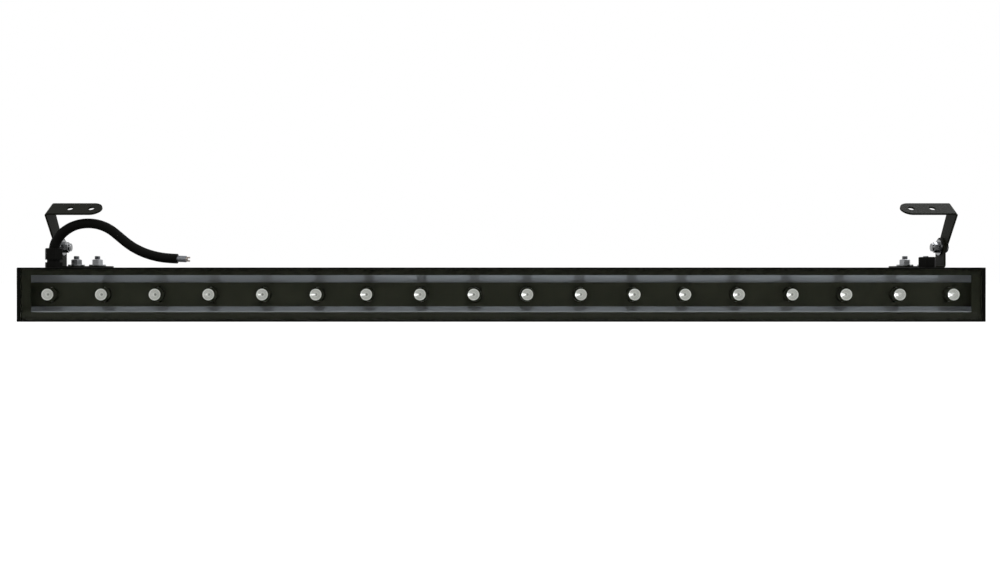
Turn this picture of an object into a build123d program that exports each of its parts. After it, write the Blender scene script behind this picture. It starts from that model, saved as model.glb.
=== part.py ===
from build123d import *
import os
from math import radians, sqrt, tan

# One metre LED wall washer: a sealed black extrusion with a row of lens-covered LEDs behind glass,
# two hinged mounting brackets, a cable gland with a short stiff lead, and a breather plug.
# X runs along the light, Y from the glass to the cooling fins, and Z up.
# The origin is at the middle of the underside. All sizes are in millimetres.
# A "depth" is a distance behind the front plane of the body.

# Body and extrusion
body_length = 1000
body_height = 56
body_depth = 60
edge_radius = 0.6
side_wall = 3
back_wall = 2.5
fin_length = 10
fin_thickness = 2
fin_count = 8
rail_width = 14.5
rail_height = 9
boss_radius = 3.2
boss_inset = 5.4
front_boss_depth = 22

# Glass, its printed border and its gasket
glass_thickness = 4
glass_recess = 0.3
glass_edge_gap = 0.3
glass_chamfer = 0.4
front_lip = 1.5
border_gap = 0.03
border_thickness = 0.2
window_bottom_inset = 9.9
window_end_inset = 13.3
gasket_thickness = 0.6
gasket_width = 3.5
ledge_width = 4.3
ledge_thickness = 2

# Reflector tray and mask strip
tray_wall = 1.5
tray_floor_depth = 23.7
tray_slope = 40
tray_channel = 4.8
tray_edge_shown = 0.7
tray_front_gap = 0.1
tray_ledge_gap = 0.5
tray_end_gap = 0.3
groove_gap = 0.3
groove_rib = 1.5
groove_rib_width = 2.3
mask_width = 25
mask_height = 4.3
mask_sheet = 1
mask_gap = 0.3
mask_hole_gap = 0.2

# LED boards
board_count = 3
leds_per_board = 6
led_end_inset = 23.9
board_end_gap = 0.3
board_spare = 1.5
board_gap = 4.8
board_thickness = 1.6
board_side_gap = 0.3
board_screw_step = 2
board_screw_radius = 1.2
board_screw_gap = 0.1
board_screw_head_radius = 2.3
board_screw_head = 1.2
board_screw_tail = 1.4
link_length = 9
link_width = 7
link_height = 1.2
chip_size = 3.5
chip_height = 0.9
chip_dome_radius = 1.3
chip_dome_height = 0.7

# Lenses and their holders
holder_radius = 7.5
holder_height = 7.5
holder_foot_radius = 3.3
lens_radius = 6
lens_edge = 0.7
lens_neck_radius = 4.2
lens_neck_rise = 0.2
lens_gap = 0.15
lens_proud = 5.7
lens_seat = 1.2
lens_seat_ledge = 0.6
lens_cone_gap = 0.4
lens_tip_radius = 2.6
lens_air = 0.5
lens_rim = 2
lens_rim_slope = 22
lens_bowl_slope = 26
lens_floor_radius = 1.3
lens_pit_radius = 0.9
lens_pit = 0.5

# Driver in the rear chamber
driver_length = 262
driver_thickness = 1.6
driver_end_gap = 6.5
driver_top_gap = 4
driver_bottom_gap = 8
standoff_height = 3.9
standoff_radius = 2.75
standoff_inset = 6
driver_screw_radius = 1.5
driver_screw_gap = 0.1
driver_screw_depth = 3
driver_screw_head_radius = 2.8
driver_screw_head = 2
transformer_length = 26
transformer_core = 9
transformer_width = 22
transformer_front_gap = 2.8
bobbin_width = 15
bobbin_step = 3.5
bobbin_round = 3.5
transformer_to_feed = 84.4
capacitor_radius = 5
capacitor_front_gap = 3.8
capacitor_pitch = 14
capacitor_to_feed = 24.4
terminal_length = 14
terminal_height = 12
terminal_front_gap = 0.8
terminal_drop = 16
wire_radius = 1.2
wire_pitch = 3
wire_drop = 1.7
wire_fall_inset = 5
wire_bend = 3
wire_notch_gap = 2
wire_back_gap = 0.5
feed_radius = 1
feed_pitch = 5
feed_hole_gap = 0.6

# End caps
cap_thickness = 3
cap_chamfer = 0.5
end_gasket_thickness = 0.5
end_gasket_inset = 0.4
end_gasket_land = 9
cap_screw_radius = 1.3
cap_screw_length = 13
cap_screw_head_radius = 2.9
cap_screw_gap = 0.05
cap_screw_socket = 2.5
cap_screw_socket_depth = 1.4
cap_screw_hole_spare = 1

# Brackets
strip_width = 21
strip_thickness = 2
strip_bend = 1
hinge_inset = 27.7
foot_inset = 5.5
foot_length = 56
foot_hole_start = 16.9
foot_hole_spacing = 22.4
strip_hole_radius = 3.3
foot_pivot_width = 21
arm_pivot_width = 16.5
pivot_height = 22.1
arm_reach = 48.6
arm_tilt = 34.5
tab_length = 56.6
tab_hole_start = 23.4
tab_hole_spacing = 22.2
pivot_hole_gap = 0.08

# M6 hardware
thread_radius = 3
thread_gap = 0.05
hex_flats = 10
nut_height = 5.7
pivot_nut_collar = 1.6
pivot_nut_collar_radius = 4.3
bolt_head = 4
washer_radius = 8.5
washer_thickness = 1.6
stud_hole = 7
stud_tail = 3.5
bolt_tail = 0.4
thread_chamfer = 0.5
hex_chamfer = 0.7

# Cable gland and breather plug
gland_inset = 32
gland_depth = 15
gland_flats = 15.8
gland_stem_radius = 6
gland_base = 5.6
gland_neck_radius = 6.6
gland_neck = 2.8
gland_grip = 5
gland_nut_height = 12
gland_nut_round = 2.2
gland_nut_top = 2
gland_seal_wall_gap = 0.1
gland_cable_gap = 0.5
gland_mouth_round = 0.8
plug_inset = 54.1
plug_depth = 15.7
plug_flats = 15.8
plug_height = 10.4
plug_chamfer = 0.3
plug_stem_radius = 6
plug_seal_radius = 7.2
plug_seal_thickness = 0.8

# Lead: jacket radius, cores and strands, and its route, as distances along X from the gland's axis
# and heights above the body, in the upright plane through the gland
lead_radius = 4.75
lead_seal_gap = 0.1
core_radius = 1.6
core_circle = 2
core_turn = 60
core_lengths = [9, 9, 9]
strand_radius = 0.9
strand_lengths = [3.8, 2.4, 3.8]
lead_route = [
    (0.0, 12.5),
    (0.0, 20.8),
    (3.0, 29.2),
    (9.8, 37.4),
    (20.6, 44.1),
    (33.4, 46.8),
    (46.6, 45.6),
    (58.6, 40.6),
    (68.8, 32.2),
    (79.6, 23.2),
    (91.6, 16.6),
    (104.6, 12.2),
    (117.4, 9.9),
    (129.4, 9.4),
]
lead_bend_share = 0.45

# Places worked out from the sizes above
housing_length = body_length - 2 * (cap_thickness + end_gasket_thickness)
housing_end = housing_length / 2
led_line = body_height / 2
window_above = led_line - (front_lip + ledge_width + tray_ledge_gap + tray_wall)
window_below = led_line - window_bottom_inset
border_depth = glass_recess + glass_thickness + border_gap
gasket_depth = border_depth + border_thickness
ledge_front = gasket_depth + gasket_thickness
ledge_back = ledge_front + ledge_thickness
groove_back = ledge_back + tray_wall + groove_gap
rib_back = groove_back + groove_rib
fin_root = body_depth - fin_length
cavity_back = fin_root - back_wall
foot_depth = cavity_back - foot_inset
glass_length = housing_length - 2 * glass_edge_gap
glass_height = body_height - 2 * (front_lip + glass_edge_gap)
tray_length = housing_length - 2 * tray_end_gap
channel_half = mask_width / 2 + mask_gap
board_width = mask_width - 2 * (mask_sheet + board_side_gap)
board_front = tray_floor_depth - board_thickness
board_row = tray_length - 2 * board_end_gap - board_spare
board_pitch = (board_row + board_gap) / board_count
board_length = board_pitch - board_gap
led_pitch = (board_length - 2 * led_end_inset) / (leds_per_board - 1)
board_steps = [index - (board_count - 1) / 2 for index in range(board_count)]
board_centers = [step * board_pitch - board_spare / 2 for step in board_steps]
led_offsets = [(index - (leds_per_board - 1) / 2) * led_pitch for index in range(leds_per_board)]
board_screw_offsets = [step * board_screw_step * led_pitch for step in (-1, 0, 1)]
board_names = ["left", "middle", "right"]
hinge_x = body_length / 2 - hinge_inset
gland_x = gland_inset - body_length / 2
plug_x = body_length / 2 - plug_inset
pivot_z = body_height + pivot_height
screw_places = [
    (depth, height)
    for depth in (front_boss_depth, foot_depth)
    for height in (boss_inset, body_height - boss_inset)
]
driver_back = cavity_back - standoff_height
driver_front = driver_back - driver_thickness
driver_left = -housing_end + driver_end_gap
driver_low = side_wall + driver_bottom_gap
driver_height = body_height - rail_height - driver_top_gap - driver_low
driver_middle = driver_low + driver_height / 2
driver_room = driver_front - (tray_floor_depth + tray_wall)
terminal_depth = driver_room - terminal_front_gap
terminal_top = body_height - terminal_drop
wire_fall_depth = driver_front - terminal_depth + wire_fall_inset
driver_x = driver_left + driver_length / 2
feed_x = board_centers[0] + led_pitch
lead_points = [Vector(gland_x + x, gland_depth - body_depth / 2, body_height + z) for x, z in lead_route]


def y_at(depth):
    """Y of a point at this distance behind the front plane."""
    return depth - body_depth / 2


def section(depth_0, depth_1, height_0, height_1):
    """Rectangle in the body's cross-section."""
    middle = Pos(y_at((depth_0 + depth_1) / 2), (height_0 + height_1) / 2)
    return middle * Rectangle(depth_1 - depth_0, height_1 - height_0)


def along_x(profile, length):
    """Cross-section drawn out along the body, half of the length each way."""
    return extrude(Plane.YZ * profile, amount=length / 2, both=True)


def group(solids):
    """Separate solids kept together under one name."""
    return Compound(children=list(solids))


def forward(x, depth, height):
    """Plane at a place in the body, facing the glass."""
    return Plane(origin=(x, y_at(depth), height), x_dir=(1, 0, 0), z_dir=(0, -1, 0))


def disc(radius, height):
    """Cylinder standing on its base."""
    return Cylinder(radius, height, align=(Align.CENTER, Align.CENTER, Align.MIN))


def ring(outer, inner, height):
    """Tube standing on its base."""
    return disc(outer, height) - disc(inner, height)


def turned(points):
    """Solid of revolution from (radius, height) corners."""
    return revolve(Plane.XZ * make_face(Polyline(*points, close=True)), Axis.Z)


def hex_bar(flats, height, chamfer_top):
    """Hexagon bar standing on its base, its top corners turned off. Two corners lie on X."""
    bar = extrude(RegularPolygon(flats / 2, 6, major_radius=False), height)
    corner = flats / sqrt(3)
    top_radius = flats / 2 - chamfer_top
    drop = (corner - top_radius) / sqrt(3)
    return bar & turned([(0, 0), (corner, 0), (corner, height - drop), (top_radius, height), (0, height)])


def mirrored(part):
    """The same piece for the other end of the light."""
    return mirror(part, about=Plane.YZ)


def make_housing():
    profile = Pos(0, led_line) * RectangleRounded(body_depth, body_height, edge_radius)
    profile -= section(0, ledge_front, front_lip, body_height - front_lip)
    ledge = front_lip + ledge_width
    profile -= section(ledge_front, ledge_back, ledge, body_height - ledge)
    profile -= section(ledge_back, groove_back, side_wall, body_height - side_wall)
    rib = side_wall + groove_rib_width
    profile -= section(groove_back, rib_back, rib, body_height - rib)
    profile -= section(rib_back, cavity_back, side_wall, body_height - side_wall)
    fin_gap = (body_height - fin_count * fin_thickness) / (fin_count - 1)
    for index in range(fin_count - 1):
        foot = fin_thickness + index * (fin_thickness + fin_gap)
        profile -= section(fin_root, body_depth, foot, foot + fin_gap)
    rail_front = cavity_back - rail_width
    profile += section(rail_front, cavity_back, body_height - rail_height, body_height - side_wall)
    for depth, height in screw_places:
        profile += Pos(y_at(depth), height) * Circle(boss_radius)
    housing = along_x(profile, housing_length)
    for side in (-1, 1):
        for depth, height in screw_places:
            reach = cap_screw_length + cap_screw_hole_spare
            drill = Cylinder(cap_screw_radius + cap_screw_gap, 2 * reach)
            housing -= Pos(side * housing_end, y_at(depth), height) * Rot(0, 90, 0) * drill
        for x in stud_places():
            drill = disc(thread_radius + thread_gap, stud_hole)
            housing -= Pos(side * x, y_at(foot_depth), body_height - stud_hole) * drill
    inner_top = body_height - side_wall
    gland_hole = disc(gland_stem_radius + thread_gap, side_wall)
    housing -= Pos(gland_x, y_at(gland_depth), inner_top) * gland_hole
    plug_hole = disc(plug_stem_radius + thread_gap, side_wall)
    housing -= Pos(plug_x, y_at(plug_depth), inner_top) * plug_hole
    notch_width = 2 * (wire_pitch + wire_radius + wire_notch_gap)
    notch_back = wire_fall_depth + wire_radius + wire_back_gap
    notch = section(rib_back, notch_back, body_height - boss_inset - 2 * boss_radius, inner_top)
    return housing - Pos(gland_x, 0, 0) * along_x(notch, notch_width)


def stud_places():
    """Distances of a foot's two studs from the middle of the light."""
    first = hinge_x - foot_hole_start
    return [first, first - foot_hole_spacing]


def make_glass():
    blank = Box(glass_length, glass_thickness, glass_height)
    front = blank.faces().sort_by(Axis.Y)[0]
    plate = chamfer(front.edges(), glass_chamfer)
    return Pos(0, y_at(glass_recess + glass_thickness / 2), led_line) * plate


def make_border():
    plane = forward(0, gasket_depth, led_line)
    sheet = extrude(plane * Rectangle(glass_length, glass_height), border_thickness)
    window_length = body_length - 2 * window_end_inset
    window_height = window_above + window_below
    middle = Pos(0, (window_above - window_below) / 2)
    window = extrude(plane * middle * Rectangle(window_length, window_height), border_thickness)
    return sheet - window


def make_glass_gasket():
    plane = forward(0, ledge_front, led_line)
    frame = Rectangle(glass_length, glass_height)
    frame -= Rectangle(glass_length - 2 * gasket_width, glass_height - 2 * gasket_width)
    return extrude(plane * frame, gasket_thickness)


def make_tray():
    slope_start = tray_floor_depth - tray_channel
    shown = window_below - tray_edge_shown
    rise = tan(radians(tray_slope))
    upper_bend = slope_start - (window_above - channel_half) * rise
    lower_bend = slope_start - (shown - channel_half) * rise
    edge = ledge_front + tray_front_gap
    corners = [
        (edge, led_line + window_above),
        (upper_bend, led_line + window_above),
        (slope_start, led_line + channel_half),
        (tray_floor_depth, led_line + channel_half),
        (tray_floor_depth, led_line - channel_half),
        (slope_start, led_line - channel_half),
        (lower_bend, led_line - shown),
        (edge, led_line - shown),
    ]
    face_line = Polyline(*[(y_at(depth), height) for depth, height in corners])
    sheet = offset(face_line, amount=tray_wall, side=Side.LEFT, kind=Kind.INTERSECTION)
    profile = make_face(sheet.edges())
    flange = ledge_back + groove_gap / 2
    top = body_height - side_wall - groove_gap
    profile += section(flange, flange + tray_wall, led_line + window_above, top)
    profile += section(flange, flange + tray_wall, side_wall + groove_gap, led_line - shown)
    tray = along_x(profile, tray_length)
    hole = disc(board_screw_radius + board_screw_gap, 2 * tray_wall)
    for center in board_centers:
        for step in board_screw_offsets:
            tray -= forward(center + step, tray_floor_depth + tray_wall, led_line) * hole
    feed_hole = disc(feed_pitch / 2 + feed_radius + feed_hole_gap, 2 * tray_wall)
    return tray - forward(feed_x, tray_floor_depth + tray_wall, led_line) * feed_hole


def make_mask():
    front = tray_floor_depth - mask_height
    half = mask_width / 2
    profile = section(front, tray_floor_depth, led_line - half, led_line + half)
    inner = half - mask_sheet
    profile -= section(front + mask_sheet, tray_floor_depth, led_line - inner, led_line + inner)
    mask = along_x(profile, tray_length)
    hole = disc(holder_radius + mask_hole_gap, 2 * mask_sheet)
    holes = [
        forward(center + led, front + mask_sheet, led_line) * hole
        for center in board_centers
        for led in led_offsets
    ]
    return mask - holes


def make_board(center):
    plane = forward(center, tray_floor_depth, led_line)
    outline = Rectangle(board_length, board_width)
    for step in board_screw_offsets:
        outline -= Pos(step, 0) * Circle(board_screw_radius + board_screw_gap)
    return extrude(plane * outline, board_thickness)


def make_leds(center):
    base = Box(chip_size, chip_size, chip_height, align=(Align.CENTER, Align.CENTER, Align.MIN))
    package = base + Pos(0, 0, chip_height) * disc(chip_dome_radius, chip_dome_height)
    return group(forward(center + led, board_front, led_line) * package for led in led_offsets)


def make_holders(center):
    seat = holder_height - lens_seat
    cup = turned([
        (holder_foot_radius, 0),
        (holder_radius, 0),
        (holder_radius, holder_height),
        (lens_neck_radius + lens_gap, holder_height),
        (lens_neck_radius + lens_gap, seat),
        (lens_neck_radius - lens_seat_ledge, seat),
    ])
    return group(forward(center + led, board_front, led_line) * cup for led in led_offsets)


def make_lenses(center):
    tip = chip_height + chip_dome_height + lens_air
    seat = holder_height - lens_seat
    front = holder_height + lens_proud
    bowl_radius = lens_radius - lens_rim
    bowl_front = front - lens_rim * tan(radians(lens_rim_slope))
    floor = bowl_front - (bowl_radius - lens_floor_radius) * tan(radians(lens_bowl_slope))
    lens = turned([
        (0, tip),
        (lens_tip_radius, tip),
        (lens_neck_radius - lens_seat_ledge - lens_cone_gap, seat),
        (lens_neck_radius, seat),
        (lens_neck_radius, holder_height + lens_neck_rise),
        (lens_radius, front - lens_edge),
        (lens_radius, front),
        (bowl_radius, bowl_front),
        (lens_floor_radius, floor),
        (lens_pit_radius, floor),
        (0, floor - lens_pit),
    ])
    return group(forward(center + led, board_front, led_line) * lens for led in led_offsets)


def make_board_screws():
    length = board_thickness + tray_wall + board_screw_tail
    head = disc(board_screw_head_radius, board_screw_head)
    screw = disc(board_screw_radius, length) + Pos(0, 0, length) * head
    start = board_front + length
    places = [center + step for center in board_centers for step in board_screw_offsets]
    return group(forward(x, start, led_line) * screw for x in places)


def make_board_links():
    link = Box(link_length, link_width, link_height, align=(Align.CENTER, Align.CENTER, Align.MIN))
    joints = [center + board_pitch / 2 for center in board_centers[:-1]]
    return group(forward(x, board_front, led_line) * link for x in joints)


def driver_screw_places():
    reach = driver_length / 2 - standoff_inset
    rise = driver_height / 2 - standoff_inset
    return [(driver_x + side * reach, driver_middle + up * rise) for side in (-1, 1) for up in (-1, 1)]


def make_driver_board():
    plane = forward(driver_x, driver_back, driver_middle)
    board = extrude(plane * Rectangle(driver_length, driver_height), driver_thickness)
    hole = disc(driver_screw_radius + driver_screw_gap, driver_thickness)
    return board - [forward(x, driver_back, z) * hole for x, z in driver_screw_places()]


def make_standoffs():
    post = disc(standoff_radius, standoff_height)
    socket = disc(driver_screw_radius + driver_screw_gap, driver_screw_depth)
    post -= Pos(0, 0, standoff_height - driver_screw_depth) * socket
    return group(forward(x, cavity_back, z) * post for x, z in driver_screw_places())


def make_driver_screws():
    shank = driver_screw_depth + driver_thickness
    head = disc(driver_screw_head_radius, driver_screw_head)
    screw = disc(driver_screw_radius, shank) + Pos(0, 0, shank) * head
    start = driver_front + shank
    return group(forward(x, start, z) * screw for x, z in driver_screw_places())


def make_transformer():
    base = (Align.CENTER, Align.CENTER, Align.MIN)
    height = driver_room - transformer_front_gap
    core = Box(transformer_core, transformer_width, height, align=base)
    bobbin = Box(transformer_length, bobbin_width, height - bobbin_step, align=base)
    bobbin = fillet(bobbin.edges().filter_by(Axis.Z), bobbin_round)
    return forward(feed_x - transformer_to_feed, driver_front, driver_middle) * (core + bobbin)


def make_capacitors():
    can = disc(capacitor_radius, driver_room - capacitor_front_gap)
    middle = feed_x - capacitor_to_feed
    places = [middle - capacitor_pitch / 2, middle + capacitor_pitch / 2]
    return group(forward(x, driver_front, driver_middle) * can for x in places)


def make_terminal_block():
    block = Box(terminal_length, terminal_depth, terminal_height,
                align=(Align.CENTER, Align.MAX, Align.MAX))
    return Pos(gland_x, y_at(driver_front), terminal_top) * block


def make_supply_leads():
    level = body_height - side_wall - wire_drop
    leads = []
    for step in (-1, 0, 1):
        x = gland_x + step * wire_pitch
        path = FilletPolyline(
            (x, y_at(gland_depth), lead_points[0].Z),
            (x, y_at(gland_depth), level),
            (x, y_at(wire_fall_depth), level),
            (x, y_at(wire_fall_depth), terminal_top),
            radius=wire_bend,
        )
        leads.append(tube(path, wire_radius))
    return group(leads)


def tube(path, radius):
    """Round bar along a path."""
    return sweep(Plane(origin=path @ 0, z_dir=path % 0) * Circle(radius), path=path)


def make_feed_leads():
    lead = disc(feed_radius, driver_front - tray_floor_depth)
    places = [feed_x - feed_pitch / 2, feed_x + feed_pitch / 2]
    return group(forward(x, driver_front, led_line) * lead for x in places)


def make_end_cap():
    """Cap for the +X end, with countersunk screw holes."""
    outline = Pos(0, led_line) * RectangleRounded(body_depth, body_height, edge_radius)
    inside = housing_end + end_gasket_thickness
    plate = extrude(Plane.YZ.offset(inside) * outline, cap_thickness)
    plate = chamfer(plate.faces().sort_by(Axis.X)[-1].edges(), cap_chamfer)
    for depth, height in screw_places:
        place = Pos(body_length / 2, y_at(depth), height) * Rot(0, -90, 0)
        plate -= place * screw_form(cap_screw_gap)
    return plate


def screw_form(gap):
    """Countersunk screw hanging from its head, with room round it; its head face is at zero."""
    sink = cap_screw_head_radius - cap_screw_radius
    return turned([
        (0, 0),
        (cap_screw_head_radius + gap, 0),
        (cap_screw_radius + gap, sink),
        (cap_screw_radius + gap, cap_screw_length + cap_thickness + end_gasket_thickness),
        (0, cap_screw_length + cap_thickness + end_gasket_thickness),
    ])


def make_cap_screws():
    socket = extrude(RegularPolygon(cap_screw_socket / 2, 6, major_radius=False), cap_screw_socket_depth)
    screw = screw_form(0) - socket
    return group(
        Pos(body_length / 2, y_at(depth), height) * Rot(0, -90, 0) * screw
        for depth, height in screw_places
    )


def make_end_gasket():
    inset = 2 * end_gasket_inset
    outline = Pos(0, led_line) * Rectangle(body_depth - inset, body_height - inset)
    outline -= section(end_gasket_land, body_depth - end_gasket_land, end_gasket_land,
                       body_height - end_gasket_land)
    for depth, height in screw_places:
        outline -= Pos(y_at(depth), height) * Circle(cap_screw_radius + cap_screw_gap)
    return extrude(Plane.YZ.offset(housing_end) * outline, end_gasket_thickness)


def bent_strip(reach, pivot_width, pivot_radius, flat_length, hole_start, hole_spacing):
    """L strip with round ends: an upright with the pivot at its end, at the origin, and a flat above it.

    The outer face of the upright is at x = 0 and that of the flat at z = reach. The upright narrows
    towards the pivot.
    """
    half = strip_width / 2
    end = pivot_width / 2
    taper = make_face(Polyline((-end, 0), (end, 0), (half, reach), (-half, reach), close=True))
    upright = taper + Circle(end) - Circle(pivot_radius)
    straight = flat_length - half
    flat = Pos(-straight / 2, 0) * Rectangle(straight, strip_width) + Pos(-straight, 0) * Circle(half)
    for distance in (hole_start, hole_start + hole_spacing):
        flat -= Pos(-distance, 0) * Circle(strip_hole_radius)
    strip = extrude(Plane.YZ * upright, -strip_thickness)
    strip += extrude(Plane.XY.offset(reach) * flat, -strip_thickness)
    bends = strip.edges().filter_by(Axis.Y)
    strip = fillet(bends.sort_by_distance((0, 0, reach))[0], strip_bend + strip_thickness)
    inner = (-strip_thickness, 0, reach - strip_thickness)
    return fillet(strip.edges().filter_by(Axis.Y).sort_by_distance(inner)[0], strip_bend)


def make_foot():
    strip = bent_strip(pivot_height, foot_pivot_width, strip_hole_radius,
                       foot_length, foot_hole_start, foot_hole_spacing)
    return Pos(hinge_x, y_at(foot_depth), pivot_z) * mirror(strip, about=Plane.XY)


def make_arm():
    pivot_radius = thread_radius + pivot_hole_gap
    strip = bent_strip(arm_reach, arm_pivot_width, pivot_radius,
                       tab_length, tab_hole_start, tab_hole_spacing)
    return Pos(hinge_x + strip_thickness, y_at(foot_depth), pivot_z) * Rot(arm_tilt, 0, 0) * strip


def make_nut():
    nut = hex_bar(hex_flats, nut_height, hex_chamfer)
    return nut - disc(thread_radius + thread_gap, nut_height)


def make_pivot_nut():
    """Locking nut: a plain nut with a collar that grips the bolt's end."""
    collar = ring(pivot_nut_collar_radius, thread_radius + thread_gap, pivot_nut_collar)
    return make_nut() + Pos(0, 0, nut_height) * collar


def make_stud():
    length = stud_hole + strip_thickness + washer_thickness + nut_height + stud_tail
    stud = disc(thread_radius, length)
    return chamfer(stud.edges(), thread_chamfer)


def make_washer():
    return ring(washer_radius, thread_radius + thread_gap, washer_thickness)


def on_foot(piece, height):
    """The piece at each of the foot's two studs, at a height above the body."""
    return group(Pos(x, y_at(foot_depth), body_height + height) * piece for x in stud_places())


def on_pivot(piece, x):
    """The piece on the hinge axis, standing towards the middle of the light from this x."""
    return Plane(origin=(x, y_at(foot_depth), pivot_z), x_dir=(0, 0, 1), z_dir=(-1, 0, 0)) * piece


def make_pivot_bolt():
    length = 2 * strip_thickness + washer_thickness + nut_height + pivot_nut_collar + bolt_tail
    shank = disc(thread_radius, length)
    shank = chamfer(shank.edges().sort_by(Axis.Z)[-1], thread_chamfer)
    head = Rot(180, 0, 0) * hex_bar(hex_flats, bolt_head, hex_chamfer)
    return on_pivot(shank + head, hinge_x + strip_thickness)


def at_gland(piece, height):
    return Pos(gland_x, y_at(gland_depth), body_height + height) * piece


def make_gland_body():
    neck = gland_neck + gland_grip
    body = Pos(0, 0, -side_wall) * disc(gland_stem_radius, side_wall)
    body += extrude(RegularPolygon(gland_flats / 2, 6, major_radius=False), gland_base)
    body += Pos(0, 0, gland_base) * disc(gland_neck_radius, neck)
    bore = disc(lead_radius + gland_cable_gap, side_wall + gland_base + neck)
    return at_gland(body - Pos(0, 0, -side_wall) * bore, 0)


def make_gland_nut():
    shell = extrude(RegularPolygon(gland_flats / 2, 6, major_radius=False), gland_nut_height)
    dome = disc(gland_flats / sqrt(3), gland_nut_height)
    shell &= fillet(dome.edges().sort_by(Axis.Z)[-1], gland_nut_round)
    shell -= disc(gland_neck_radius + thread_gap, gland_nut_height - gland_nut_top)
    shell -= disc(lead_radius + gland_cable_gap, gland_nut_height)
    rims = shell.edges().filter_by(GeomType.CIRCLE)
    mouth = rims.sort_by(lambda rim: (-rim.center().Z, rim.radius))[0]
    return at_gland(fillet(mouth, gland_mouth_round), gland_base + gland_neck)


def make_gland_seal():
    height = gland_nut_height - gland_nut_top - gland_grip
    seal = ring(gland_neck_radius - gland_seal_wall_gap, lead_radius + lead_seal_gap, height)
    return at_gland(seal, gland_base + gland_neck + gland_grip)


def make_plug():
    plug = hex_bar(plug_flats, plug_height, plug_chamfer)
    stem = side_wall + plug_seal_thickness
    plug += Pos(0, 0, -stem) * disc(plug_stem_radius, stem)
    return Pos(plug_x, y_at(plug_depth), body_height + plug_seal_thickness) * plug


def make_plug_seal():
    seal = ring(plug_seal_radius, plug_stem_radius + thread_gap, plug_seal_thickness)
    return Pos(plug_x, y_at(plug_depth), body_height) * seal


def make_lead():
    runs = [end - start for start, end in zip(lead_points, lead_points[1:])]
    radii = [
        lead_bend_share * min(one.length, two.length) / tan(radians(one.get_angle(two) / 2))
        for one, two in zip(runs, runs[1:])
    ]
    path = FilletPolyline(*lead_points, radius=radii)
    lead = tube(path, lead_radius)
    print("lead radii", [round(radius, 1) for radius in radii], "length", round(path.length, 1))
    print("lead volume over section times length", lead.volume / (path.length * Circle(lead_radius).area))
    return lead


def lead_tips(radius, starts, lengths):
    """Round bars in line with the end of the jacket, one for each core, from their starts past it."""
    end = lead_points[-1]
    plane = Plane(origin=end, x_dir=(0, 1, 0), z_dir=end - lead_points[-2])
    spots = PolarLocations(core_circle, len(lengths), start_angle=core_turn)
    return group(
        plane * Pos(0, 0, start) * spot * disc(radius, length)
        for spot, start, length in zip(spots, starts, lengths)
    )


pieces = {
    "housing": make_housing(),
    "front_glass": make_glass(),
    "glass_border": make_border(),
    "glass_gasket": make_glass_gasket(),
    "reflector_tray": make_tray(),
    "mask_strip": make_mask(),
    "board_screws": make_board_screws(),
    "board_links": make_board_links(),
    "driver_board": make_driver_board(),
    "driver_standoffs": make_standoffs(),
    "driver_screws": make_driver_screws(),
    "driver_transformer": make_transformer(),
    "driver_capacitors": make_capacitors(),
    "terminal_block": make_terminal_block(),
    "supply_leads": make_supply_leads(),
    "led_feed_leads": make_feed_leads(),
    "gland_body": make_gland_body(),
    "gland_nut": make_gland_nut(),
    "gland_seal": make_gland_seal(),
    "breather_plug": make_plug(),
    "breather_seal": make_plug_seal(),
    "lead_cable": make_lead(),
    "lead_cores": lead_tips(core_radius, [0] * len(core_lengths), core_lengths),
    "lead_strands": lead_tips(strand_radius, core_lengths, strand_lengths),
}
for board_name, board_center in zip(board_names, board_centers):
    pieces["led_board_" + board_name] = make_board(board_center)
    pieces["leds_" + board_name] = make_leds(board_center)
    pieces["lens_holders_" + board_name] = make_holders(board_center)
    pieces["lenses_" + board_name] = make_lenses(board_center)

washer_level = strip_thickness
nut_level = washer_level + washer_thickness
pivot_washer_x = hinge_x - strip_thickness
right_hand = {
    "end_cap": make_end_cap(),
    "end_gasket": make_end_gasket(),
    "end_cap_screws": make_cap_screws(),
    "foot": make_foot(),
    "foot_studs": on_foot(make_stud(), -stud_hole),
    "foot_washers": on_foot(make_washer(), washer_level),
    "foot_nuts": on_foot(make_nut(), nut_level),
    "arm": make_arm(),
    "pivot_bolt": make_pivot_bolt(),
    "pivot_washer": on_pivot(make_washer(), pivot_washer_x),
    "pivot_nut": on_pivot(make_pivot_nut(), pivot_washer_x - washer_thickness),
}
for name, piece in right_hand.items():
    pieces[name + "_right"] = piece
    pieces[name + "_left"] = mirrored(piece)

os.makedirs("parts", exist_ok=True)
for name, piece in pieces.items():
    export_step(piece, "parts/" + name + ".step")
print(len(pieces), "nodes")
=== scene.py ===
# %% [markdown]
# # A one metre LED wall washer
# The light is a sealed black bar with a row of lenses behind glass, two hinged brackets, a cable gland
# with a short stiff lead, and a breather plug. The solids come ready made, at their real size, so this
# lesson only gives them their finishes, and models what solids do badly: the lead, its bare wire ends
# and the screw threads. Everything is in metres, in the frame of the solids.

# %% Load the solids
import math

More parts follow.
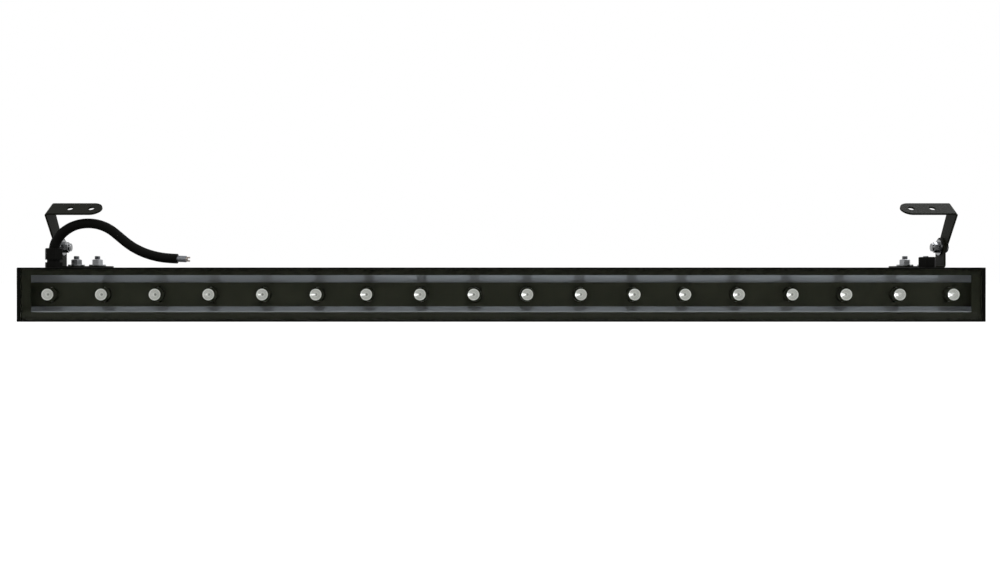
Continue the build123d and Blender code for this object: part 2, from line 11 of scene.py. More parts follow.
import bmesh
import bpy
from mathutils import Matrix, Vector


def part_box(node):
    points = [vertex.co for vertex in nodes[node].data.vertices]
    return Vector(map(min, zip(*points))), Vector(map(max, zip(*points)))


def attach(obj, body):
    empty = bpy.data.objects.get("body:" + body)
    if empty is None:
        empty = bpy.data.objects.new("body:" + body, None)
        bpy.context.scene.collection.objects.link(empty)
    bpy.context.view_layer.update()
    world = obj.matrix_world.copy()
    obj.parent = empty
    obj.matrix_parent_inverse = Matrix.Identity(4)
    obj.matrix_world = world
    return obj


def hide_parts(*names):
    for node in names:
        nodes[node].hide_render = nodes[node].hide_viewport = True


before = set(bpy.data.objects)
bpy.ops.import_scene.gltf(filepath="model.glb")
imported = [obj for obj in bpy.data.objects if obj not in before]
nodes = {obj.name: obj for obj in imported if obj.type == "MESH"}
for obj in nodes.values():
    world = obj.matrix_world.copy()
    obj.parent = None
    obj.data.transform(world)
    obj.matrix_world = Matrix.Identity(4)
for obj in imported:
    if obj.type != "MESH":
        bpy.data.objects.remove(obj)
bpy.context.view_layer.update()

mm = 0.001

# %% [markdown]
# ## Camera
# The picture is taken straight from the front, a little above the middle of the bar, and close enough
# for the ends to show their perspective. The camera therefore looks along the Y axis, level, and its
# distance and lens are those at which the width of the bar and the depth of its brackets both fit.

# %% Camera
camera_distance = 1.05
camera_side = -1.24 * mm
camera_height = 41.56 * mm
film_width = 36
picture_width = 1000
pixel_at_front = 1.0314 * mm

camera_data = bpy.data.cameras.new("camera")
camera = bpy.data.objects.new("camera", camera_data)
bpy.context.collection.objects.link(camera)
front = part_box("housing")[0].y
camera.location = (camera_side, front - camera_distance, camera_height)
camera.rotation_euler = (math.pi / 2, 0, 0)
camera_data.sensor_width = film_width
camera_data.lens = film_width * camera_distance / (picture_width * pixel_at_front)
bpy.context.scene.camera = camera
print("lens", round(camera_data.lens, 2), "mm")

# %% [markdown]
# ## The lead
# A short, stiff rubber lead leaves the gland upwards, bows over and comes down along the bar. Straight
# runs joined by arcs would look like bent wire. So it is one NURBS line, which a few listed points steer
# without corners, with a round bevel for the jacket. The points are distances along X from the gland and
# heights above the bar, in millimetres.

# %% Lead jacket
lead_radius = 5.1 * mm
lead_route = [
    (0.0, 12.5),
    (0.0, 20.8),
    (3.0, 29.2),
    (9.8, 37.4),
    (20.6, 44.1),
    (33.4, 46.8),
    (46.6, 45.6),
    (58.6, 40.6),
    (68.8, 32.2),
    (79.6, 23.2),
    (91.6, 16.6),
    (104.6, 12.2),
    (117.4, 9.9),
    (129.4, 9.4),
]
steps_between_points = 16
bevel_steps = 6
gland_low, gland_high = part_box("gland_nut")
gland_axis = (gland_low + gland_high) / 2
bar_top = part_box("housing")[1].z
lead_points = [Vector((gland_axis.x + x * mm, gland_axis.y, bar_top + z * mm)) for x, z in lead_route]


def smooth_tube(name, points, radius):
    """Round bar along a smooth line that the points steer."""
    curve = bpy.data.curves.new(name, "CURVE")
    curve.dimensions = "3D"
    curve.resolution_u = steps_between_points
    # The bevel is one unit, so each point's own radius is the radius of the bar.
    curve.bevel_depth = 1
    curve.bevel_resolution = bevel_steps
    curve.use_fill_caps = True
    spline = curve.splines.new("NURBS")
    spline.points.add(len(points) - 1)
    for target, point in zip(spline.points, points):
        target.co = (*point, 1)
        target.radius = radius
    spline.order_u = 3
    spline.use_endpoint_u = True
    tube = bpy.data.objects.new(name, curve)
    bpy.context.collection.objects.link(tube)
    return tube


lead = smooth_tube("lead_jacket", lead_points, lead_radius)
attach(lead, "lamp")
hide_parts("lead_cable")
print("lead steered by", len(lead_points), "points")

# %% [markdown]
# ## Bare wire ends
# Three cores stick out of the cut jacket, each stripped to its strands. A core is a plain tube, but the
# strands of a real wire are twisted, and that is what makes a bare end read as copper and not as a pin.
# So each end is a bundle of thin helices round a straight one.

# %% Cores
core_radius = 1.6 * mm
core_circle = 2 * mm
core_length = 9 * mm
core_root = 3 * mm
core_angles = (60, 180, 300)
core_stations = (-core_root, 0, core_length / 2, core_length)

lead_end = lead_points[-1]
along = (lead_points[-1] - lead_points[-2]).normalized()
sideways = Vector((0, 1, 0))
upwards = along.cross(sideways)


def spoke(turn):
    """Direction square to the lead's end, at this angle round it."""
    return math.cos(turn) * sideways + math.sin(turn) * upwards


def beside(distance, offset, turn):
    """Point this far past the jacket's end and this far off its middle line."""
    return lead_end + distance * along + offset * spoke(turn)


cores = []
for number, angle in enumerate(core_angles, 1):
    line = [beside(station, core_circle, math.radians(angle)) for station in core_stations]
    core = smooth_tube("lead_core_" + str(number), line, core_radius)
    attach(core, "lamp")
    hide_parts("lead_cores")
    cores.append(core)
print(len(cores), "cores")

# %% Strands
strand_lengths = (3.8 * mm, 2.4 * mm, 3.8 * mm)
strand_radius = 0.3 * mm
strand_circle = 0.6 * mm
strands_round = 6
strand_turns = 0.35
strand_steps = 8


def strand_line(core_turn, length, index):
    """Points of one strand: the first is straight, and the others wind round it."""
    reach = 0 if index == 0 else strand_circle
    points = []
    for step in range(strand_steps + 1):
        share = step / strand_steps
        turn = 2 * math.pi * (index / strands_round + strand_turns * share)
        middle = beside(core_length + share * length, core_circle, core_turn)
        points.append(middle + reach * spoke(turn))
    return points


strands = []
for number, (angle, length) in enumerate(zip(core_angles, strand_lengths), 1):
    for index in range(strands_round + 1):
        line = strand_line(math.radians(angle), length, index)
        strand = smooth_tube("lead_strand_" + str(number) + "_" + str(index), line, strand_radius)
        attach(strand, "lamp")
        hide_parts("lead_strands")
        strands.append(strand)
print(len(strands), "strands")

# %% [markdown]
# ## Screw threads
# Two studs stand in each foot, and the tail of each shows above its nut. The solids have plain studs. A
# bump could fake the thread, but its outline would stay straight. A thread is one long helical ridge, so
# the stud is rebuilt as a stack of rings whose radius rises and falls with height and turns once per pitch.

# %% Threaded rod
thread_radius = 3 * mm
thread_pitch = 1 * mm
thread_depth = 0.55 * mm
thread_flat = 0.15
thread_lead_in = 0.6 * mm
ring_points = 40
rings_per_pitch = 8


def thread_profile(share):
    """Height of the ridge over one pitch, from 0 in the flat root to 1 on the flat crest."""
    rise = 1 - abs(2 * (share % 1) - 1)
    return min(1, max(0, (1 + 2 * thread_flat) * rise - thread_flat))


def thread_ring(shape, foot, height, tip):
    """One ring of points round the rod, with its ridge faded by tip."""
    ring = []
    for index in range(ring_points):
        share = index / ring_points
        ridge = thread_profile(height / thread_pitch - share)
        radius = thread_radius - thread_depth * (1 - ridge * tip)
        turn = 2 * math.pi * share
        offset = Vector((radius * math.cos(turn), radius * math.sin(turn), height))
        ring.append(shape.verts.new(foot + offset))
    return ring


def threaded_rod(name, foot, length):
    """Upright rod with a thread, standing at this point."""
    shape = bmesh.new()
    count = round(length / thread_pitch * rings_per_pitch)
    rings = []
    for step in range(count + 1):
        height = length * step / count
        tip = min(1, (length - height) / thread_lead_in)
        rings.append(thread_ring(shape, foot, height, tip))
    for low, high in zip(rings, rings[1:]):
        for index in range(ring_points):
            after = (index + 1) % ring_points
            shape.faces.new((low[index], low[after], high[after], high[index]))
    shape.faces.new(rings[-1])
    shape.faces.new(reversed(rings[0]))
    mesh = bpy.data.meshes.new(name)
    shape.to_mesh(mesh)
    shape.free()
    mesh.shade_smooth()
    rod = bpy.data.objects.new(name, mesh)
    bpy.context.collection.objects.link(rod)
    return rod


print("thread of", thread_pitch / mm, "mm pitch")

# %% Threaded studs
both_ends = ("left", "right")
studs = []
for end in both_ends:
    node = "foot_studs_" + end
    low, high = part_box(node)
    for number, x in enumerate((low.x + thread_radius, high.x - thread_radius), 1):
        foot = Vector((x, (low.y + high.y) / 2, low.z))
        stud = threaded_rod("threaded_stud_" + end + "_" + str(number), foot, high.z - low.z)
        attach(stud, "lamp")
        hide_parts(node)
        studs.append(stud)
print(len(studs), "threaded studs")

# %% [markdown]
# ## Sums on sockets
# A finish is a small calculation that runs at every point of a surface. Blender draws it as boxes and
# wires, which are slow to read in a script. Wrapping a socket in a class with its own plus, minus and
# times lets the same calculation be written as a line of Python, and each sign adds one Math node.

# %% A socket that Python can do sums with
class Signal:
    """An output socket in a node tree."""

    def __init__(self, tree, socket):
        self.tree = tree
        self.socket = socket

    def node(self, kind, settings, inputs, output=0):
        """A new node: its settings first, then a value or a link for each of its inputs."""
        made = self.tree.nodes.new(kind)
        for name, value in settings.items():
            if name == "stops":
                set_stops(made.color_ramp, value)
            else:
                setattr(made, name, value)
        connect(made, inputs)
        return Signal(self.tree, made.outputs[output])

    def math(self, operation, first, second):
        """A Math node on values or links."""
        return self.node("ShaderNodeMath", {"operation": operation}, {0: first, 1: second})

    def __add__(self, other):
        return self.math("ADD", self, other)

    def __radd__(self, other):
        return self.math("ADD", other, self)

    def __sub__(self, other):
        return self.math("SUBTRACT", self, other)

    def __rsub__(self, other):
        return self.math("SUBTRACT", other, self)

    def __mul__(self, other):
        return self.math("MULTIPLY", self, other)

    def __rmul__(self, other):
        return self.math("MULTIPLY", other, self)


def connect(node, inputs):
    """Sets or links a node's inputs by name or number."""
    for name, value in inputs.items():
        if isinstance(value, Signal):
            value.tree.links.new(value.socket, node.inputs[name])
        else:
            node.inputs[name].default_value = value


def set_stops(ramp, stops):
    """Gives a colour ramp its (position, colour) stops."""
    while len(ramp.elements) < len(stops):
        ramp.elements.new(0.5)
    for element, (position, colour) in zip(ramp.elements, stops):
        element.position = position
        element.color = opaque(colour)


def opaque(colour):
    """A colour with the fourth number that a socket wants. A signal has it already."""
    return colour if isinstance(colour, Signal) else (*colour, 1)


print("sockets can now be added, subtracted and multiplied")

# %% [markdown]
# ## Building blocks of a finish
# Real surfaces are never one flat colour: paint has a fine orange peel, metal has drawing lines, and
# edges catch the light because they are slightly round. Noise gives the first two. For the edges, the
# Bevel node pretends that a sharp edge is rounded, which is cheaper than rounding every solid.

# %% Building blocks
unstretched = (1, 1, 1)
bevel_samples = 6


def new_finish(name):
    """A material, its main shader, and a signal with the place of each point in metres."""
    material = bpy.data.materials.new(name)
    material.use_nodes = True
    tree = material.node_tree
    places = tree.nodes.new("ShaderNodeTexCoord")
    return material, tree.nodes["Principled BSDF"], Signal(tree, places.outputs["Object"])


def speckle(place, per_metre, detail=2.0, stretch=unstretched):
    """Noise from 0 to 1, with about this many specks to the metre, drawn out where stretch is small."""
    if stretch != unstretched:
        place = place.node("ShaderNodeVectorMath", {"operation": "MULTIPLY"}, {0: place, 1: stretch})
    return place.node("ShaderNodeTexNoise", {}, {"Vector": place, "Scale": per_metre, "Detail": detail})


def blend(factor, first, second, how="MIX"):
    """Mix of two colours, or another blend of them."""
    settings = {"data_type": "RGBA", "blend_type": how}
    return factor.node("ShaderNodeMix", settings, {0: factor, 6: opaque(first), 7: opaque(second)}, 2)


def scaled(colour, share):
    """A lighter or darker colour of the same hue."""
    return tuple(share * part for part in colour)


def rounded_edges(place, radius):
    """Normals of the surface with its edges rounded."""
    return place.node("ShaderNodeBevel", {"samples": bevel_samples}, {"Radius": radius})


def edge_mask(place, rounded):
    """0 on flats, and more where the rounded normal leans away from the true one."""
    true = place.node("ShaderNodeNewGeometry", {}, {}, "True Normal")
    lean = place.node("ShaderNodeVectorMath", {"operation": "DOT_PRODUCT"}, {0: rounded, 1: true}, "Value")
    return 1 - lean


def relief(height, depth, normal=None):
    """Normals of a surface with this height map, this deep in metres."""
    inputs = {"Height": height, "Distance": depth, "Strength": 1.0}
    if normal is not None:
        inputs["Normal"] = normal
    return height.node("ShaderNodeBump", {}, inputs)


print("blocks for specks, colours, edges and relief")

# %% Directions and places
def along_axis(vector, axis):
    """One part of a vector: X, Y or Z."""
    return vector.node("ShaderNodeSeparateXYZ", {}, {0: vector}, axis)


def face_direction(place):
    """Direction in which each face looks."""
    return place.node("ShaderNodeTexCoord", {}, {}, "Normal")


def each(names, places):
    """Names of the pieces that are at several places."""
    return [name + "_" + place for name in names for place in places]


def dress(material, *names):
    """Puts a finish on solids."""
    for name in names:
        mesh = nodes[name].data
        mesh.materials.clear()
        mesh.materials.append(material)
    print(material.name, "on", ", ".join(names))


print("pieces at both ends are named like", each(["foot"], both_ends))

# %% [markdown]
# ## Black coats
# The bar and its brackets are powder coated: the powder melts into a satin skin with a fine orange peel,
# and wears a little lighter on the edges. One recipe with two sets of numbers gives both. The picture
# shows the front rim of the bar nearly plain black, so the satin skin leaves out the faces that look
# forwards. The inner sides of the end caps are bare metal, as where a coat is masked off, and the tray
# mirrors them.

# %% Powder coat
bare_aluminium = (0.7, 0.71, 0.72)
glass_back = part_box("front_glass")[1].y
facing = 0.5
peel_specks = 900
peel_depth = 0.03 * mm
coat_cloud_specks = 25
edge_radius = 0.25 * mm


def faces_inwards(place):
    """1 behind the glass on faces that look along X to the middle of the bar, and 0 elsewhere."""
    direction = face_direction(place)
    x = along_axis(place, "X")
    outwards = along_axis(direction, "X") * x.math("SIGN", x, 0)
    behind = x.math("GREATER_THAN", along_axis(place, "Y"), glass_back)
    return x.math("LESS_THAN", outwards, -facing) * behind


def faces_forwards(place):
    """1 on faces that look out of the front, and 0 elsewhere."""
    direction = face_direction(place)
    return direction.math("LESS_THAN", along_axis(direction, "Y"), -facing)


def powder_coat(name, colour, edge_colour, gloss, satin=0.0, bare_inside=False):
    """Coat with an orange peel and worn edges and, where asked, a satin skin and bare inner sides."""
    material, shader, place = new_finish(name)
    peel = speckle(place, peel_specks)
    cloud = speckle(place, coat_cloud_specks)
    rounded = rounded_edges(place, edge_radius)
    wear = edge_mask(place, rounded) * (0.4 + cloud)
    coat = blend(wear, colour, edge_colour)
    roughness = 0.48 + 0.1 * cloud + 0.1 * peel
    if bare_inside:
        bare = faces_inwards(place)
        coat = blend(bare, coat, bare_aluminium)
        roughness = roughness - 0.3 * bare
        connect(shader, {"Metallic": 0.3 * bare})
    if satin:
        connect(shader, {"Coat Weight": satin * (1 - faces_forwards(place)), "Coat Roughness": 0.3})
    connect(shader, {
        "Base Color": coat,
        "Roughness": roughness,
        "Specular IOR Level": gloss,
        "Normal": relief(peel, peel_depth, rounded),
    })
    return material


print("the back of the glass is at Y", round(glass_back, 4))

# %% Bar, caps and brackets
body_black = (0.003, 0.0031, 0.0024)
body_edge = (0.007, 0.007, 0.006)
body_gloss = 0.04
body_satin = 0.6
bracket_black = (0.0082, 0.0087, 0.0056)
bracket_edge = (0.018, 0.018, 0.015)
bracket_gloss = 0.06

body_coat = powder_coat("body_coat", body_black, body_edge, body_gloss, body_satin)
cap_coat = powder_coat("cap_coat", body_black, body_edge, body_gloss, body_satin, bare_inside=True)
bracket_coat = powder_coat("bracket_coat", bracket_black, bracket_edge, bracket_gloss)
dress(body_coat, "housing")
dress(cap_coat, *each(["end_cap"], both_ends))
dress(bracket_coat, *each(["foot", "arm"], both_ends))

# %% [markdown]
# ## Glass and its border
# A clear pane closes the front, with a black border printed on its back. Clear glass is one shader: it
# lets light through and mirrors a little. The picture shows hardly any reflection in the pane, as in
# coated glass, so its index of refraction is set lower than that of plain glass. Its shadow is switched
# off, because light passes it almost unchanged. The ink has no gloss of its own, because the glass in
# front of it has.

# %% Glass and printed border
glass_tint = (0.97, 0.985, 0.975)
glass_index = 1.15
smear_specks = 40
ink_thick = (0.0196, 0.0206, 0.0145)
ink_thin = (0.0241, 0.0253, 0.0178)
ink_specks = 300


def clear_glass():
    """Clear pane with faint smears."""
    material, shader, place = new_finish("front_glass")
    smear = speckle(place, smear_specks)
    connect(shader, {
        "Base Color": opaque(glass_tint),
        "Roughness": 0.003 * smear,
        "Transmission Weight": 1.0,
        "IOR": glass_index,
    })
    return material


def border_ink():
    """Printed black that varies a little in thickness."""
    material, shader, place = new_finish("border_ink")
    grain = speckle(place, ink_specks)
    connect(shader, {
        "Base Color": blend(grain, ink_thick, ink_thin),
        "Roughness": 0.5 + 0.1 * grain,
        "Specular IOR Level": 0.0,
    })
    return material


dress(clear_glass(), "front_glass")
nodes["front_glass"].visible_shadow = False
dress(border_ink(), "glass_border")

# %% [markdown]
# ## Seals
# Rubber seals close the joints at the glass, the end caps, the gland and the breather plug. They hardly
# show, so a flat dark grey would do for them. But the jacket of the lead is rubber too, so the recipe
# that both share has a fine grain and soft clouds.

# %% Rubber
rubber_specks = 1200
rubber_cloud_specks = 60
rubber_grain_depth = 0.02 * mm
seal_black = (0.005, 0.005, 0.0045)


def black_rubber(name, colour):
    """Dull rubber with a fine grain."""
    material, shader, place = new_finish(name)
    grain = speckle(place, rubber_specks)
    cloud = speckle(place, rubber_cloud_specks)
    connect(shader, {
        "Base Color": blend(cloud, colour, scaled(colour, 1.5)),
        "Roughness": 0.6 + 0.15 * cloud,
        "Specular IOR Level": 0.05,
        "Normal": relief(grain, rubber_grain_depth),
    })
    return material


seal_rubber = black_rubber("seal_rubber", seal_black)
dress(seal_rubber, "glass_gasket", "gland_seal", "breather_seal", *each(["end_gasket"], both_ends))

# %% [markdown]
# ## Reflector tray
# Behind the glass lies a trough of bare aluminium. Its sloped walls show as two grey bands, and they are
# smooth enough to mirror the black lens cups. Aluminium sheet has fine drawing lines along its length. An
# anisotropic gloss would give their sheen but no single line, so the noise is stretched along X instead.

# %% Aluminium tray
tray_dark = (0.395, 0.412, 0.437)
tray_light = (0.435, 0.452, 0.477)
line_specks = 2500
line_stretch = (0.01, 1, 1)
line_depth = 0.002 * mm
tray_cloud_specks = 30


def drawn_aluminium():
    """Bright sheet with drawing lines along X."""
    material, shader, place = new_finish("drawn_aluminium")
    lines = speckle(place, line_specks, 3.0, line_stretch)
    cloud = speckle(place, tray_cloud_specks)
    connect(shader, {
        "Base Color": blend(cloud, tray_dark, tray_light),
        "Metallic": 0.71,
        "Roughness": 0.08 + 0.06 * lines + 0.03 * cloud,
        "Normal": relief(lines, line_depth),
    })
    return material


dress(drawn_aluminium(), "reflector_tray")

# %% [markdown]
# ## Mask, cups and gland
# A black mask strip hides the boards, and each lens sits in a black cup. The gland and the breather plug
# are moulded as well. Moulded plastic keeps the fine grain of its mould, which is deeper on the gland
# than on the mask, so the depth of the grain is one of the numbers of the recipe.

# %% Moulded black
boards = ("left", "middle", "right")
mould_specks = 1600
mould_cloud_specks = 45
mask_colour = (0.0274, 0.0284, 0.0205)
mask_grain_depth = 0.003 * mm
gland_colour = (0.004, 0.004, 0.0034)
gland_grain_depth = 0.02 * mm


def moulded_black(name, colour, gloss, grain_depth):
    """Black plastic with the grain of its mould."""
    material, shader, place = new_finish(name)
    grain = speckle(place, mould_specks)
    cloud = speckle(place, mould_cloud_specks)
    rounded = rounded_edges(place, edge_radius)
    connect(shader, {
        "Base Color": blend(cloud, colour, scaled(colour, 1.3)),
        "Roughness": 0.5 + 0.12 * grain,
        "Specular IOR Level": gloss,
        "Normal": relief(grain, grain_depth, rounded),
    })
    return material


mask_black = moulded_black("mask_black", mask_colour, 0.0, mask_grain_depth)
gland_black = moulded_black("gland_black", gland_colour, 0.06, gland_grain_depth)
dress(mask_black, "mask_strip", *each(["lens_holders"], boards))
dress(gland_black, "gland_body", "gland_nut", "breather_plug")

# %% [markdown]
# ## Lenses
# The lenses are moulded acrylic with a frosted face: mostly a light grey that scatters, with a clear gloss
# on top. The face has faint rings of painted shade with a lighter rim, in place of the shading of its
# ringed relief, and a dark dot is painted in the middle where the unlit LED would show through. Both depend
# on the distance from the axis of the nearest lens. A material for each lens could know its own axis, but a
# zigzag of X with the pitch of the row gives that distance for a whole board at once. The barrel behind the
# face is painted darker, as painted shade for the black cup that would show through it.

# %% Frosted lenses
lenses_per_board = 6
# Painted shade on the barrel, for the black cup that would show through it.
painted_barrel_shade = (0.28, 0.28, 0.27)
barrel_facing = 0.3
frost_specks = 2200
frost_shade = (0.6, 0.6, 0.6)
# Painted shade by distance from the lens axis: a dark middle, dark rings and a lighter rim.
painted_ring_shading = [
    (0.0, (0.23, 0.23, 0.215)),
    (0.16, (0.26, 0.26, 0.245)),
    (0.28, (0.6, 0.6, 0.562)),
    (0.42, (0.635, 0.635, 0.596)),
    (0.52, (0.45, 0.45, 0.424)),
    (0.64, (0.635, 0.635, 0.596)),
    (0.74, (0.45, 0.45, 0.424)),
    (0.88, (0.74, 0.74, 0.698)),
    (1.0, (0.76, 0.76, 0.718)),
]


def frosted_lens(board):
    """Finish of one board's lenses: painted ring shading on the faces and painted shade on the barrels."""
    material, shader, place = new_finish("frosted_lens_" + board)
    low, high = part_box("lenses_" + board)
    middle = (low + high) / 2
    radius = (high.z - low.z) / 2
    pitch = (high.x - low.x - 2 * radius) / (lenses_per_board - 1)
    x = along_axis(place, "X")
    z = along_axis(place, "Z")
    across = x.math("PINGPONG", x - (low.x + radius), pitch / 2)
    up = z - middle.z
    distance = x.math("SQRT", across * across + up * up, 0)
    # Painted ring shading, looked up by the distance from the nearest lens axis.
    rings = x.node("ShaderNodeValToRGB", {"stops": painted_ring_shading}, {0: distance * (1 / radius)})
    frost = speckle(place, frost_specks)
    shade = blend(0.3 * frost, rings, frost_shade, "MULTIPLY")
    # Faces that don't look forwards get the painted barrel shade.
    barrel = x.math("GREATER_THAN", along_axis(face_direction(place), "Y"), -barrel_facing)
    connect(shader, {
        "Base Color": blend(barrel, shade, painted_barrel_shade),
        "Roughness": 0.4 + 0.1 * frost,
        "Specular IOR Level": 0.0,
        "Coat Weight": 1.0,
        "Coat Roughness": 0.16,
    })
    return material


for board in boards:
    dress(frosted_lens(board), "lenses_" + board)

# %% [markdown]
# ## Steel hardware
# The nuts are zinc plated: a bright but soft grey metal with faint clouds in the plating. The hinge bolts
# and the wide washers have a darker, smoother plating, and the studs are plainer steel. One recipe makes
# all three, because they differ only in two colours and in their roughness.

# %% Plated steel
plating_cloud_specks = 180
scratch_specks = 3000
scratch_stretch = (1, 1, 0.15)
scratch_depth = 0.005 * mm
hardware_edge_radius = 0.3 * mm


def plated_steel(name, dark, light, roughness):
    """Metal with clouds between two greys, fine scratches and rounded edges."""
    material, shader, place = new_finish(name)
    cloud = speckle(place, plating_cloud_specks)
    scratches = speckle(place, scratch_specks, 3.0, scratch_stretch)
    rounded = rounded_edges(place, hardware_edge_radius)
    connect(shader, {
        "Base Color": blend(cloud, dark, light),
        "Metallic": 1.0,
        "Roughness": roughness + 0.12 * cloud + 0.08 * scratches,
        "Normal": relief(scratches, scratch_depth, rounded),
    })
    return material


zinc_plate = plated_steel("zinc_plate", (0.29, 0.297, 0.305), (0.4, 0.408, 0.417), 0.26)
dark_plate = plated_steel("dark_plate", (0.15, 0.154, 0.158), (0.29, 0.295, 0.3), 0.12)
plain_steel = plated_steel("plain_steel", (0.14, 0.145, 0.155), (0.22, 0.225, 0.235), 0.3)
dress(zinc_plate, "board_screws", "driver_screws", "driver_standoffs",
      *each(["foot_nuts", "end_cap_screws"], both_ends))
dress(dark_plate, *each(["pivot_bolt", "pivot_washer", "pivot_nut", "foot_washers"], both_ends))
for stud in studs:
    stud.data.materials.append(plain_steel)
print(plain_steel.name, "on", len(studs), "studs")

# %% [markdown]
# ## Lead finishes
# The jacket is black rubber, by the recipe of the seals. The core insulation is grey plastic, and the
# strands are tinned copper, which is a pale metal with warmer patches where the tin is thin.

# %% Lead finishes
jacket_black = (0.0035, 0.0035, 0.003)
plastic_cloud_specks = 200
thin_tin = (0.5, 0.42, 0.36)
full_tin = (0.6, 0.57, 0.54)
tin_specks = 900


def plain_plastic(name, colour, roughness):
    """Plastic with soft clouds."""
    material, shader, place = new_finish(name)
    cloud = speckle(place, plastic_cloud_specks)
    connect(shader, {
        "Base Color": blend(cloud, scaled(colour, 0.85), colour),
        "Roughness": roughness + 0.1 * cloud,
    })
    return material


def tinned_copper():
    """Pale metal with warmer patches."""
    material, shader, place = new_finish("tinned_copper")
    cloud = speckle(place, tin_specks)
    connect(shader, {
        "Base Color": blend(cloud, thin_tin, full_tin),
        "Metallic": 1.0,
        "Roughness": 0.25 + 0.1 * cloud,
    })
    return material


lead.data.materials.append(black_rubber("jacket_rubber", jacket_black))
core_grey = plain_plastic("core_grey", (0.2, 0.21, 0.23), 0.4)
copper = tinned_copper()
for core in cores:
    core.data.materials.append(core_grey)
for strand in strands:
    strand.data.materials.append(copper)
print("jacket,", len(cores), "cores and", len(strands), "strands finished")

# %% [markdown]
# ## Boards and driver
# What is inside can only be seen with the bar taken apart, so it gets plain but true finishes.

# %% Inner pieces
dress(plain_plastic("white_mask", (0.75, 0.76, 0.74), 0.4), *each(["led_board"], boards))
dress(plain_plastic("phosphor", (0.85, 0.66, 0.2), 0.5), *each(["leds"], boards))
dress(plain_plastic("green_laminate", (0.03, 0.17, 0.06), 0.35), "driver_board")
dress(plain_plastic("ferrite", (0.05, 0.05, 0.05), 0.6), "driver_transformer")
dress(plain_plastic("can_sleeve", (0.04, 0.05, 0.09), 0.3), "driver_capacitors")
dress(plain_plastic("white_nylon", (0.7, 0.7, 0.67), 0.45), "terminal_block", "board_links")
dress(core_grey, "supply_leads", "led_feed_leads")

# %% [markdown]
# ## White studio
# The picture has a white background with no visible edge. Lamps bright enough to burn it white would
# wash out the black bar. So the world is white for the camera and for mirrors and glass, and dimmer as a
# lamp. The floor is white in the same way but keeps a soft shadow, because part of its light is the light
# that falls on it.

# %% World
ambient = 0.8
pure_white = (1, 1, 1)


def seen_directly(signal):
    """1 for rays from the camera, and for those that a mirror or glass sends on, and 0 for the rest."""
    path = signal.tree.nodes.new("ShaderNodeLightPath")
    camera_ray = Signal(signal.tree, path.outputs["Is Camera Ray"])
    glossy_ray = Signal(signal.tree, path.outputs["Is Glossy Ray"])
    glass_ray = Signal(signal.tree, path.outputs["Is Transmission Ray"])
    return signal.math("MAXIMUM", signal.math("MAXIMUM", camera_ray, glossy_ray), glass_ray)


def make_world():
    """World that is white to look at and dimmer as a lamp."""
    world = bpy.data.worlds.new("studio")
    world.use_nodes = True
    sky = world.node_tree.nodes["Background"]
    seen = seen_directly(Signal(world.node_tree, sky.outputs[0]))
    connect(sky, {"Color": opaque(pure_white), "Strength": ambient + (1 - ambient) * seen})
    bpy.context.scene.world = world
    print("world", world.name, "at", ambient, "as a lamp")


make_world()
bpy.context.scene.view_settings.view_transform = "Standard"

# %% Floor
floor_size = 12
floor_colour = (0.8, 0.8, 0.8)
floor_seen_colour = (0.35, 0.35, 0.35)
floor_glow = 0.8


def stage_piece(name, corners, faces):
    """Piece of the studio, with flat faces, which isn't part of the object."""
    mesh = bpy.data.meshes.new(name)
    mesh.from_pydata(corners, [], faces)
    piece = bpy.data.objects.new(name, mesh)
    bpy.context.collection.objects.link(piece)
    return piece


def white_floor():
    """Pale for the light that it sends on, and glowing, with shadows, for the camera, mirrors and glass."""
    material = bpy.data.materials.new("white_floor")
    material.use_nodes = True
    tree = material.node_tree
    tree.nodes.clear()
    start = Signal(tree, tree.nodes.new("ShaderNodeLightPath").outputs[0])
    lit = start.node("ShaderNodeBsdfDiffuse", {}, {"Color": opaque(floor_colour)})
    dim = start.node("ShaderNodeBsdfDiffuse", {}, {"Color": opaque(floor_seen_colour)})
    glow = start.node("ShaderNodeEmission", {}, {"Color": opaque(pure_white), "Strength": floor_glow})
    white = start.node("ShaderNodeAddShader", {}, {0: dim, 1: glow})
    mixed = start.node("ShaderNodeMixShader", {}, {0: seen_directly(start), 1: lit, 2: white})
    output = tree.nodes.new("ShaderNodeOutputMaterial")
    connect(output, {"Surface": mixed})
    return material


floor_corners = [
    (-floor_size, -floor_size, 0),
    (floor_size, -floor_size, 0),
    (floor_size, floor_size, 0),
    (-floor_size, floor_size, 0),
]
floor = stage_piece("floor", floor_corners, [(0, 1, 2, 3)])
floor.data.materials.append(white_floor())
print("floor", 2 * floor_size, "m wide")

# %% [markdown]
# ## Dark cloths
# Glass and black paint would mirror all that white, so a dark cloth lies and hangs in front, as
# photographers do it. What the back of the pane mirrors has passed through the glass, and a second,
# smaller cloth is there for those rays. A real cloth would also take light away and show in the picture,
# so these are hidden from the camera and from the light that falls on things.

# %% Cloths
cloth_half_width = 2.0
cloth_far = -2.2
cloth_level = 1 * mm
cloth_black = (0.004, 0.004, 0.004)


def make_flag(name, near, top, rays):
    """Cloth that lies on the floor from near to far and then hangs, and that only these rays meet."""
    corners = [
        (-cloth_half_width, near, cloth_level),
        (cloth_half_width, near, cloth_level),
        (cloth_half_width, cloth_far, cloth_level),
        (-cloth_half_width, cloth_far, cloth_level),
        (cloth_half_width, cloth_far, top),
        (-cloth_half_width, cloth_far, top),
    ]
    flag = stage_piece(name, corners, [(0, 1, 2, 3), (3, 2, 4, 5)])
    material, shader = new_finish(name + "_cloth")[:2]
    connect(shader, {"Base Color": opaque(cloth_black), "Roughness": 1.0, "Specular IOR Level": 0.0})
    flag.data.materials.append(material)
    flag.visible_camera = False
    flag.visible_diffuse = False
    flag.visible_shadow = False
    flag.visible_glossy = rays == "glossy"
    flag.visible_transmission = rays == "transmission"
    print(name, "for", rays, "rays")


make_flag("flag", near=front - 20 * mm, top=0.25, rays="glossy")
make_flag("pane_flag", near=front - 300 * mm, top=0.08, rays="transmission")

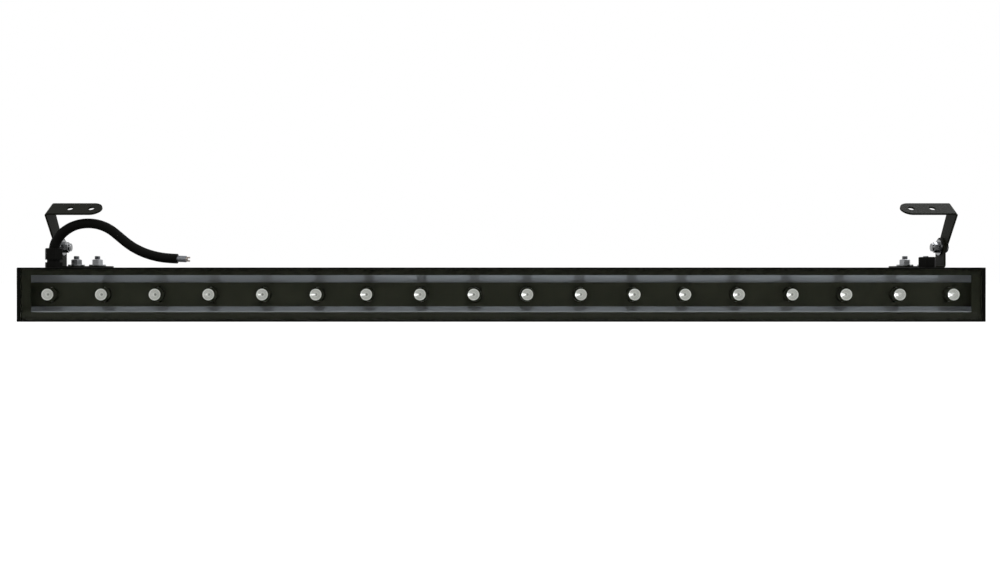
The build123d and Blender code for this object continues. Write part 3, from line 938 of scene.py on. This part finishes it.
# %% [markdown]
# ## Lamps
# The white world already lights everything evenly. A wide lamp overhead gives the tops their light and the
# floor its shadow, and one behind on the right lifts the right bracket. A weaker one at the front right
# helps it, and lights the nuts and washers of both feet. A low strip of light on the right is there for its
# reflections alone: it draws the bright wedge on each lens. Light linking keeps the last two off everything
# but the pieces that they are meant for, and lets the strip pass all but the mask, because the border of
# the glass would cut off its light on the last lens.

# %% Soft lamps
cool_white = (0.93, 0.95, 1.0)


def soft_lamp(name, place, aim, size, radiance):
    """Rectangular lamp of an even brightness, where 1 is the white of the background."""
    data = bpy.data.lights.new(name, "AREA")
    data.shape = "RECTANGLE"
    data.size, data.size_y = size
    data.energy = math.pi * size[0] * size[1] * radiance
    lamp = bpy.data.objects.new(name, data)
    lamp.location = place
    lamp.rotation_euler = (Vector(aim) - Vector(place)).to_track_quat("-Z", "Y").to_euler()
    lamp.visible_camera = False
    bpy.context.collection.objects.link(lamp)
    print(name, round(data.energy, 1), "W")
    return lamp


soft_lamp("top_lamp", place=(0.8, 0.1, 1.8), aim=(0.8, 0, 0), size=(2.4, 1.0), radiance=1.2)
rim_lamp = soft_lamp("rim_lamp", place=(1.15, 0.7, 1.6), aim=(0.45, 0, 0.1), size=(0.8, 0.8), radiance=4.2)
rim_lamp.data.color = cool_white

# %% Linked lamps
bracket_pieces = ["arm", "foot", "pivot_bolt", "pivot_washer", "pivot_nut"]
foot_fasteners = ["foot_nuts", "foot_washers"]


def solids_named(title, names):
    """A collection of these solids."""
    group = bpy.data.collections.new(title)
    for name in names:
        group.objects.link(nodes[name])
    print(title, len(names), "solids")
    return group


def shine_only_on(lamp, names):
    """Keeps a lamp's light off everything but these solids."""
    lamp.light_linking.receiver_collection = solids_named("lit_by_" + lamp.name, names)


def shaded_only_by(lamp, names):
    """Lets a lamp's light pass everything but these solids."""
    lamp.light_linking.blocker_collection = solids_named("shading_" + lamp.name, names)


strip_lamp = soft_lamp("strip_lamp", place=(1.67, -1.28, 0.09), aim=(0.696, -1.054, 0.09),
                       size=(2.35, 0.45), radiance=120.0)
strip_lamp.visible_diffuse = False
strip_lamp.data.cycles.use_multiple_importance_sampling = False
shine_only_on(strip_lamp, each(["lenses"], boards))
shaded_only_by(strip_lamp, ["mask_strip"])
side_lamp = soft_lamp("side_lamp", place=(1.7, -0.8, 0.7), aim=(0.45, 0, 0.05),
                      size=(0.8, 0.8), radiance=3.0)
shine_only_on(side_lamp, each(bracket_pieces, ["right"]) + each(foot_fasteners, both_ends))
